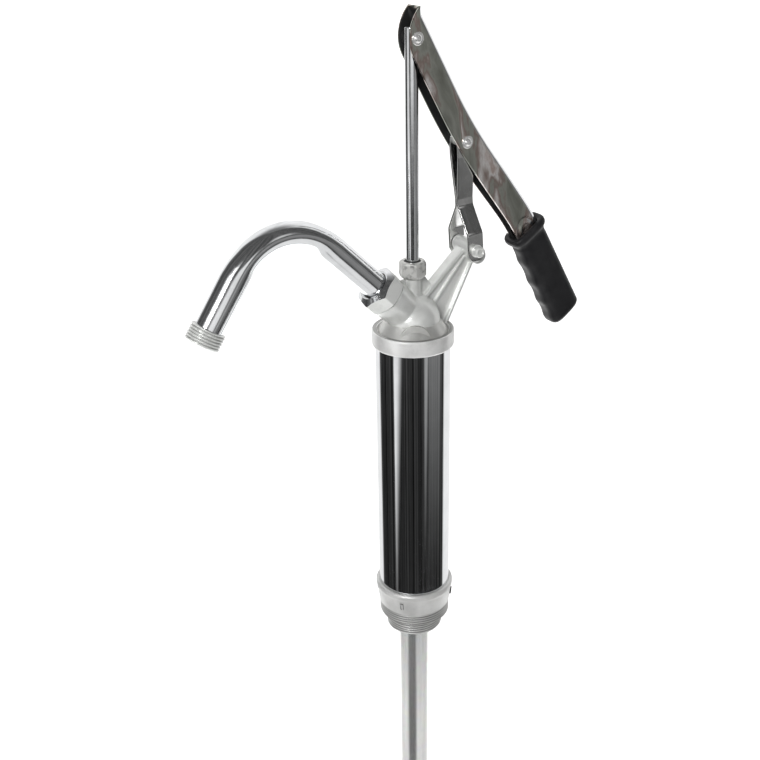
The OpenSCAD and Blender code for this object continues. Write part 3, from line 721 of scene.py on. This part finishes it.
def spout_point(s):
    """Centre, outward direction and flattening of the spout at a distance from the dome's centre"""
    if s < SPOUT_RISE:
        x, z, a = 0.0, s, 0.0
    elif s < SPOUT_RISE + BEND_LEN:
        a = (s - SPOUT_RISE) / BEND_R
        x, z = -BEND_R + BEND_R * math.cos(a), SPOUT_RISE + BEND_R * math.sin(a)
    else:
        a, d = BEND, s - SPOUT_RISE - BEND_LEN
        x = -BEND_R + BEND_R * math.cos(a) - d * math.sin(a)
        z = SPOUT_RISE + BEND_R * math.sin(a) + d * math.cos(a)
    bent = max(0.0, min(1.0, (s - SPOUT_RISE + 9) / 22, (SPOUT_RISE + BEND_LEN + 9 - s) / 22))
    return x, z, a, bent * bent * (3 - 2 * bent)


def spout():
    """Tube bent into a gooseneck, flattened a little in its bend"""
    bend_end = SPOUT_RISE + BEND_LEN
    stations = levels(29.5, SPOUT_RISE - 12, 4.0) + levels(SPOUT_RISE - 11, bend_end + 12, 1.0)
    stations += levels(bend_end + 13, bend_end + SPOUT_OUTLET - 0.8, 4.0)
    sides = 96
    outer, inner = [], []
    for s in stations:
        x, z, a, bent = spout_point(s)
        for rows, r in ((outer, SPOUT_R), (inner, SPOUT_BORE_R)):
            row = []
            for k in range(sides):
                t = 2 * math.pi * k / sides
                out, across = r * math.cos(t), r * math.sin(t) * (1 + 0.02 * bent)
                out *= 1 - 0.17 * bent if out > 0 else 1 - 0.10 * bent
                row.append((x + out * math.cos(a), across, z + out * math.sin(a)))
            rows.append(row)
    return smooth(grid("spout_gooseneck", outer + inner[::-1], SPOUT_FRAME, loop_rows=True), 40.0)


def hose_thread():
    """Threaded end piece on the spout's outlet"""
    length = 12.5
    top, end = SPOUT_OUTLET - length, SPOUT_OUTLET
    profile = [(10.75, top + 0.1), (11.2, top), (12.6, top), (13.1, top + 0.3)]
    profile += [(HOSE_THREAD_R, z) for z in levels(top + 0.5, end - 0.6, 0.18)]
    profile += [(12.9, end - 0.2), (12.5, end), (11.0, end), (10.75, end - 0.2)]
    shape = bolt_thread(top + 0.2, end - 0.3, HOSE_THREAD_R, 1.15, 0.5)
    obj = lathe("hose_end_threaded", profile, OUTLET_FRAME, segments=160, shape=shape)
    mark_grooves(obj, OUTLET_FRAME, [(top + 0.3, end - 0.3, HOSE_THREAD_R, 1.7)])
    return smooth(obj, 40.0)


piece(gland(), "pump_body", "zinc_plated_steel", ["gland_nut"])
piece(wiper(), "pump_body", "seal_rubber")
nut_piece = piece(spout_nut(), "pump_body", "chrome", ["spout_nut"], spout_chrome)
paint_faces(nut_piece, nut_satin, lambda at, normal: abs(normal.z) < 0.3 and off_axis(at) > 14.5,
            SPOUT_FRAME)
piece(spout(), "pump_body", "chrome", ["spout_tube"], spout_chrome)
piece(hose_thread(), "pump_body", "zinc_plated_steel", ["hose_end"], nut_satin)

# ---------- suction tube ----------

upper = tube("suction_tube_upper", inner=12.5, outer=14.0, bottom=-480.0, top=-6.0, segments=160)
piece(upper, "pump_body", "galvanised_tube", ["upper_suction_tube"])
lower = tube("suction_tube_lower", inner=9.9, outer=11.3, bottom=-513.0, top=-83.0, segments=128)
piece(lower, "lower_tube", "galvanised_tube", ["lower_suction_tube"])

# ---------- lever ----------

LEVER_SHEET = 1.8
GRIP_START = 188.0
GRIP_END = 285.5
LEVER_END = 272.0


def bow_line(u):
    """Rise of the lever's middle at a distance from the rod pin"""
    slope = math.tan(math.radians(8.5))
    rise_b = 60.0 * math.tan(math.radians(4.25))
    rise_c = rise_b + 50.0 * slope
    if u <= 55.0:
        return 0.0
    if u <= 115.0:
        return rise_b * ((u - 55.0) / 60.0) ** 2
    if u <= 165.0:
        return rise_b + (u - 115.0) * slope
    if u <= 195.0:
        return rise_c + (u - 165.0) * slope * (1 - (u - 165.0) / 60.0)
    return rise_c + 15.0 * slope


def lever_depth(u):
    """Height of the lever's sides"""
    return 22.0 + 2.0 * max(0.0, min(1.0, (u - 55.0) / 80.0))


def web_edge(u):
    """Level of the lever's closed edge"""
    return 13.0 + bow_line(u) + (lever_depth(u) - 22.0) / 2


def open_edge(u):
    """Level of the lever's open edge, which ends in an arc beyond the rod pin"""
    if u < 11.0:
        return 21.0 - math.sqrt(max(0.0, 900.0 - (u - 11.0) ** 2))
    return web_edge(u) - lever_depth(u)


def lever_half_width(u):
    t = max(0.0, min(1.0, (u - 102.0) / (GRIP_START - 102.0)))
    return 8.5 - 2.0 * t


def pressed_rings(u, w):
    """Depth of the oval pressed into the flange where the grip begins"""
    d = math.hypot((u - 190.0) / 1.45, w - 14.6)
    ring = math.exp(-((d - 8.0) / 0.9) ** 2) - 0.8 * math.exp(-((d - 5.4) / 0.8) ** 2)
    return 0.34 * ring + 0.25 * math.exp(-(d / 2.6) ** 2)


def channel():
    """Lever pressed from sheet into a channel, open towards the pump"""
    radius, sheet, steps = 5.4, LEVER_SHEET, 8
    stations = [-17.85 + 17.85 * (i / 16) ** 2 for i in range(16)] + levels(0.0, 162.0, 2.0)
    stations += levels(162.7, 196.0, 0.7) + levels(198.0, LEVER_END, 4.0)
    rows = []
    for u in stations:
        top, half = web_edge(u), lever_half_width(u)
        span = max(0.4, top - open_edge(u))
        low = top - span
        rad = min(radius, span * 0.45)
        r_in = max(0.15, rad - sheet)
        web_under = top - min(sheet, span * 0.3)
        flange = [low + 0.35 + (top - rad - low - 0.35) * i / 30 for i in range(31)]
        outer, inner = [], []
        for w in flange:
            dent = pressed_rings(u, w)
            outer.append((half - dent, w))
            inner.append((half - sheet - dent, w))
        for i in range(1, steps + 1):
            a = math.pi / 2 * i / steps
            outer.append((half - rad + rad * math.cos(a), top - rad + rad * math.sin(a)))
            inner.append((half - sheet - r_in + r_in * math.cos(a),
                          top - sheet - r_in + r_in * math.sin(a)))
        inner = [(max(0.2, y), min(w, web_under)) for y, w in inner]
        lip_out, lip_in = (half - 0.35, low), (half - sheet + 0.35, low)
        loop = [lip_out] + outer + [(0.0, top)] + [(-y, w) for y, w in outer[::-1] + [lip_out]]
        loop += [(-y, w) for y, w in [lip_in] + inner] + [(0.0, web_under)] + inner[::-1] + [lip_in]
        rows.append([(u, y, w) for y, w in loop])
    return smooth(grid("lever_channel_pressed", rows, LEVER_FRAME, caps=True), 38.0)


def grip_outline(half_w, half_y):
    """Outline of the grip, between an oval and a rectangle"""
    power, count = 0.56, 64
    out = []
    for i in range(count):
        a = 2 * math.pi * i / count
        c, s = math.cos(a), math.sin(a)
        out.append((math.copysign(abs(c) ** power, c) * half_y,
                    math.copysign(abs(s) ** power, s) * half_w))
    return out


def finger_row(u, mid, outline):
    """Row of the grip with finger waves on its underside, cut back at a slant near its end"""
    waves = sum(math.exp(-((u - c) / 5.2) ** 2) for c in (216.0, 238.0, 258.5, 277.5))
    row = []
    for y, w in outline:
        side = max(0.0, -w / 14.2 - 0.15) / 0.85
        cut_back = 0.13 * (w + 14.0) * max(0.0, min(1.0, (u - 255.0) / 25.0))
        row.append((u - cut_back, y, mid + w - side * (1.1 * waves + 0.1)))
    return row


def grip():
    """Rubber grip with a lip towards the pump and a rounded end"""
    mid = web_edge(LEVER_END) - 12.0
    inside = grip_outline(12.7, 6.55)

    def lip_row(du, outline):
        return [(GRIP_START + du + 0.085 * (16.0 - w), y, mid + w) for y, w in outline]

    rows = [[(274.0, y, mid + w) for y, w in inside]]
    rows += [lip_row(0.9, inside), lip_row(0.0, grip_outline(13.8, 7.6))]
    lip = [(0.0, 2.0), (0.5, 2.8), (1.6, 3.3), (3.4, 3.4), (5.2, 2.9), (6.6, 1.6), (8.2, 0.6),
           (11.0, 0.0)]
    for du, swell in lip:
        rows.append(lip_row(du, grip_outline(14.4 + swell, 9.4 + 0.7 * swell)))
    for u in levels(GRIP_START + 14.5, GRIP_END - 5.0, 1.0):
        taper = (u - GRIP_START) / (GRIP_END - GRIP_START)
        rows.append(finger_row(u, mid, grip_outline(14.6 + 0.4 * taper, 9.4 + 0.3 * taper)))
    for i in range(1, 9):
        a = math.pi / 2 * i / 8
        shrink = 4.6 * (1 - math.cos(a))
        u = GRIP_END - 5.0 + 4.9 * math.sin(a)
        rows.append(finger_row(u, mid, grip_outline(15.0 - shrink, 9.7 - shrink * 0.8)))
    return smooth(grid("lever_grip_moulded", rows, LEVER_FRAME, caps=True), 45.0)


def rivet(name, u):
    """Rivet across the channel, a ring and a small dome at each end"""
    head = [(2.6, 0.0), (4.75, 0.0), (4.85, 0.35), (4.6, 0.8), (4.1, 1.0), (3.55, 0.75), (3.2, 0.8),
            (3.0, 1.25), (2.5, 1.75), (1.7, 2.1), (0.8, 2.2), (0.0, 2.22)]
    place = LEVER_FRAME @ Matrix.Translation((u, 0, 0)) @ ALONG_Y
    shank = [(0.0, -8.6), (2.95, -8.6), (2.95, 8.6), (0.0, 8.6)]
    parts = [lathe("shank", shank, place, 48, closed=False)]
    for flip in (0.0, math.pi):
        turn = place @ Matrix.Rotation(flip, 4, "X") @ Matrix.Translation((0, 0, 8.52))
        parts.append(lathe("head", head, turn, 64, closed=False))
    return smooth(join(name, parts), 50.0)


def above_lip(at):
    return at.z > open_edge(max(-17.5, at.x)) + 3.0


def inside_channel(at, normal):
    if abs(normal.y) > 0.5:
        return normal.y * at.y < 0
    return normal.z < -0.3 and above_lip(at)


lever = piece(channel(), "lever", "chrome", ["lever_channel"], lever_chrome)
# the inside faces of the channel are painted near-black, as shade
paint_faces(lever, painted_shade_black, inside_channel, LEVER_FRAME)
# the top of the web and its rounded corners get clean bright chrome: a painted highlight along the
# lever's edge
paint_faces(lever, spout_chrome, lambda at, normal: normal.z > 0.15 and above_lip(at), LEVER_FRAME)
# the washers are painted near-black as shade, as they lie in the dark of the channel
frame["nodes"]["rod_pin_washers"].data.materials[0] = painted_shade_black
piece(grip(), "lever", "grip_rubber", ["lever_grip"])
piece(rivet("rod_pin_rivet", 0.0), "lever", "chrome", ["rod_pin"], rivet_steel)
piece(rivet("link_pin_rivet", RIVET_PITCH), "lever", "chrome", ["link_pin"], rivet_steel)

# ---------- link ----------


def strap(name, side):
    """Bent strap with rounded ends and edges, swept along its own path"""
    half, thick, foot = 7.0, 2.0, 2.5
    foot_x, top_x = 13.2, 5.4
    path = rounded([(foot_x, -foot - half), (foot_x, 13.5), (1.3, 34.0), (1.3, 40.0), (top_x, 74.0),
                    (top_x, LINK_LEN + half)], [0, 6.0, 8.0, 8.0, 8.0, 0], steps=8)
    dense = []
    for a, b in zip(path, path[1:]):
        count = max(1, int((b - a).length / 1.0))
        dense += [a.lerp(b, i / count) for i in range(count)]
    dense.append(path[-1])
    rounding = [half * (1 - math.cos(math.pi / 2 * i / 14)) for i in range(14)]
    line = [Vector((foot_x, -foot - half + r)) for r in rounding]
    line += [p for p in dense if -foot < p.y < LINK_LEN]
    line += [Vector((top_x, LINK_LEN + half - r)) for r in rounding[::-1]]
    rows = []
    for i, p in enumerate(line):
        a, b = line[max(0, i - 1)], line[min(len(line) - 1, i + 1)]
        along = (b - a).normalized()
        out = Vector((along.y, -along.x))
        reach = max(0.0, -foot - p.y, p.y - LINK_LEN)
        w = math.sqrt(max(0.02, half * half - reach * reach))
        edge = min(0.45, w * 0.5)
        section = rounded([(-w, -thick / 2), (w, -thick / 2), (w, thick / 2), (-w, thick / 2)], edge,
                          closed=True, steps=3)
        row = []
        for x, t in section:
            q = p + out * t
            row.append((x, side * q.x, q.y))
        rows.append(row)
    return smooth(grid(name, rows, LINK_FRAME, caps=True), 40.0)


def fulcrum():
    """Headed fulcrum pin: a small head at the back, a shouldered end with a dimple in front"""
    place = Matrix.Translation(FULCRUM) @ ALONG_Y
    profile = [(0.0, -16.6), (3.6, -16.6), (4.4, -16.2), (4.6, -15.6), (4.6, -14.25), (3.2, -14.25),
               (3.2, 14.25), (5.0, 14.25), (5.0, 15.5), (4.7, 15.85), (4.3, 15.95), (4.3, 19.4),
               (4.1, 20.1), (3.6, 20.5), (2.9, 20.55), (2.5, 20.2), (2.2, 19.6), (1.2, 19.5), (0.0, 19.5)]
    return smooth(lathe("fulcrum_pin_turned", rounded(profile, 0.25), place, 96, closed=False), 38.0)


piece(strap("link_strap_front_bent", -1), "link", "stamped_steel", ["front_link_strap"])
piece(strap("link_strap_rear_bent", 1), "link", "stamped_steel", ["rear_link_strap"])
piece(fulcrum(), "link", "zinc_plated_steel", ["fulcrum_pin", "fulcrum_pin_cap"], nut_satin)

# ---------- rod ----------


def rod():
    """Ground rod, thinner where the piston sits"""
    profile = rounded([(0.0, 185.0), (4.0, 185.0), (4.0, 206.0), (ROD_R, 206.0), (ROD_R, 207.0),
                       (ROD_R, 483.5), (ROD_R, 485.0), (0.0, 485.0)], [0, 0.5, 0, 0.3, 0, 0, 0.9, 0])
    return smooth(lathe("piston_rod_ground", profile, segments=96, closed=False), 40.0)


piece(rod(), "rod_and_piston", "chrome", ["piston_rod"], rod_chrome)

# ---------- floor, light and camera ----------


def floor():
    """Pale paper sweep, below the pump even with its tube drawn out, and closed into a dome far away.
    Only the camera sees it: mirrors show the room instead."""
    level, flat, curve = -915.0, 18000.0, 6000.0
    profile = [(0.0, level), (300.0, level), (1500.0, level), (6000.0, level)]
    profile += [(flat + curve * math.sin(a), level + curve * (1 - math.cos(a)))
                for a in np.linspace(0.0, math.pi / 2, 12)]
    profile += [(24000.0, 16000.0), (18000.0, 27000.0), (0.0, 32000.0)]
    obj = smooth(lathe("floor", profile, segments=64, closed=False))
    mat, n, shader, at = material("floor_paper", 0.0, 0.9, 0.1)
    n.put(shader, "Base Color", n.ramp(n.noise(at, 3.0, 5.0), [(0.3, 0.88), (0.7, 0.90)]))
    shader.inputs["Emission Color"].default_value = (1.0, 1.0, 1.0, 1.0)
    shader.inputs["Emission Strength"].default_value = 0.80
    obj.data.materials.append(mat)
    obj.visible_glossy = False
    obj.visible_diffuse = False
    obj.visible_shadow = False


CAMERA_AT = Vector((-0.44099, -0.71015, 0.58709))
CAMERA_RIGHT = Vector((0.862076, -0.506496, -0.016922))
CAMERA_UP = Vector((0.220871, 0.345459, 0.912071))
CAMERA_BACK = Vector((-0.456114, -0.790013, 0.409682))


def camera():
    """Camera in the photo's place"""
    data = bpy.data.cameras.new("camera")
    data.lens = 53.577
    data.sensor_width = 36.0
    data.shift_y = -0.00314
    data.clip_start = 0.01
    data.clip_end = 200.0
    obj = bpy.data.objects.new("camera", data)
    turn = Matrix((CAMERA_RIGHT, CAMERA_UP, CAMERA_BACK)).transposed().to_4x4()
    obj.matrix_world = Matrix.Translation(CAMERA_AT) @ turn
    bpy.context.scene.collection.objects.link(obj)
    bpy.context.scene.camera = obj


FRONT = Vector((-0.5, -0.866025, 0.0))
RIGHT = Vector((0.866025, -0.5, 0.0))


def room():
    """Studio room that the metal mirrors: white behind the pump, a bright table below, and dim in front
    with soft patches of light. Angles are in degrees, to the right of the front of the pump and above
    the horizon."""
    world = bpy.data.worlds.new("studio")
    bpy.context.scene.world = world
    world.use_nodes = True
    n = Nodes(world.node_tree)
    direction = n.add("ShaderNodeTexCoord").outputs["Generated"]

    def along(axis):
        return n.add("ShaderNodeVectorMath", _operation="DOT_PRODUCT", i0=direction,
                     i1=axis).outputs["Value"]

    def degrees(value):
        return n.math("MULTIPLY", value, 180.0 / math.pi)

    upward = along((0.0, 0.0, 1.0))
    turn = degrees(n.math("ARCTAN2", along(RIGHT), along(FRONT)))
    rise = degrees(n.math("ARCSINE", upward))

    def step(value, start, end, low=0.0, high=1.0):
        """Goes smoothly from low to high between two values"""
        return n.add("ShaderNodeMapRange", _interpolation_type="SMOOTHSTEP", Value=value, From_Min=start,
                     From_Max=end, To_Min=low, To_Max=high).outputs[0]

    def window(value, a, b, c, d):
        """Rises from 0 to 1 between a and b and falls back between c and d"""
        return n.math("MULTIPLY", step(value, a, b), step(value, c, d, 1.0, 0.0))

    def light(turns, rises, level, lean=0.0):
        """Soft patch of light; lean moves its right side in, in degrees for each degree further down"""
        height = n.math("ADD", rise, 21.0)
        shifted = n.math("SUBTRACT", turn, n.math("MULTIPLY", height, lean))
        wide = n.math("MULTIPLY", step(turn, *turns[:2]), step(shifted, *turns[2:], 1.0, 0.0))
        return n.math("MULTIPLY", n.math("MULTIPLY", wide, window(rise, *rises)), level)

    # dim front of the room, with upright streaks
    streak = n.add("ShaderNodeTexNoise", _noise_dimensions="1D", W=n.math("MULTIPLY", turn, 0.16),
                   Detail=3.0, Scale=1.0).outputs["Fac"]
    dim = n.math("MULTIPLY", step(rise, -30.0, 2.0, 0.020, 0.085), step(streak, 0.34, 0.68, 0.25, 2.2))

    # white back, centred on one direction
    white = math.radians(171.0)
    middle = FRONT * math.cos(white) + RIGHT * math.sin(white)
    squared = n.math("POWER", n.math("ABSOLUTE", upward), 2.0)
    flat = n.math("SQRT", n.math("SUBTRACT", 1.0, squared))
    facing = n.math("DIVIDE", along(middle), n.math("MAXIMUM", flat, 0.001))
    back = n.math("MULTIPLY", step(facing, 0.36, 0.52), step(rise, 40.0, 78.0, 0.92, 0.10))

    # bright table, with a gap in front of the pump
    gap = n.math("MULTIPLY", window(turn, -58.0, -42.0, 2.0, 16.0), window(rise, -70.0, -60.0, 0.0, 1.0))
    table = n.math("MULTIPLY", step(rise, -35.4, -37.2, 0.0, 0.85), n.math("SUBTRACT", 1.0, gap))

    # patches: left and right edge, lower and upper edge, brightness, lean
    total = n.math("ADD", n.math("ADD", dim, back), table)
    for patch in (
        ((-66.0, -61.0, -50.0, -28.0), (-42.0, -27.0, -18.0, -10.0), 0.85, 1.8),
        ((-54.0, -44.0, -18.0, -8.0), (6.0, 12.0, 28.0, 38.0), 0.9),
        ((-37.0, -32.0, -24.0, -19.0), (14.0, 18.0, 25.0, 29.0), 22.0),
        ((-84.0, -76.0, -48.0, -38.0), (-21.0, -17.0, 4.0, 10.0), 0.7),
        ((-22.0, -12.0, 26.0, 40.0), (-15.0, -8.0, 8.0, 16.0), 0.85),
        ((30.0, 35.0, 42.0, 50.0), (-36.0, -22.0, -16.0, -10.0), 0.34, 0.8),
        ((44.0, 50.0, 84.0, 98.0), (-36.0, -20.0, -4.0, 6.0), 0.17),
        ((38.0, 42.0, 52.0, 60.0), (10.0, 15.0, 26.0, 32.0), 0.5),
    ):
        total = n.math("ADD", total, light(*patch))
    background = world.node_tree.nodes["Background"]
    n.put(background, "Color", total)
    background.inputs["Strength"].default_value = 1.0


def soft_box(name, place, target, size, power):
    """Rectangular lamp that faces a target"""
    data = bpy.data.lights.new(name, "AREA")
    data.shape = "RECTANGLE"
    data.size, data.size_y = size
    data.energy = power
    obj = bpy.data.objects.new(name, data)
    back = (Vector(place) - Vector(target)).normalized()
    obj.matrix_world = Matrix.Translation(place) @ back.to_track_quat("Z", "Y").to_matrix().to_4x4()
    bpy.context.scene.collection.objects.link(obj)
    return obj


bpy.context.scene.view_settings.view_transform = "Standard"
floor()
camera()
room()
key = soft_box("key", (-1.15, -1.15, 1.15), (0.0, 0.0, 0.2), (0.5, 0.5), 30.0)
key.visible_glossy = False
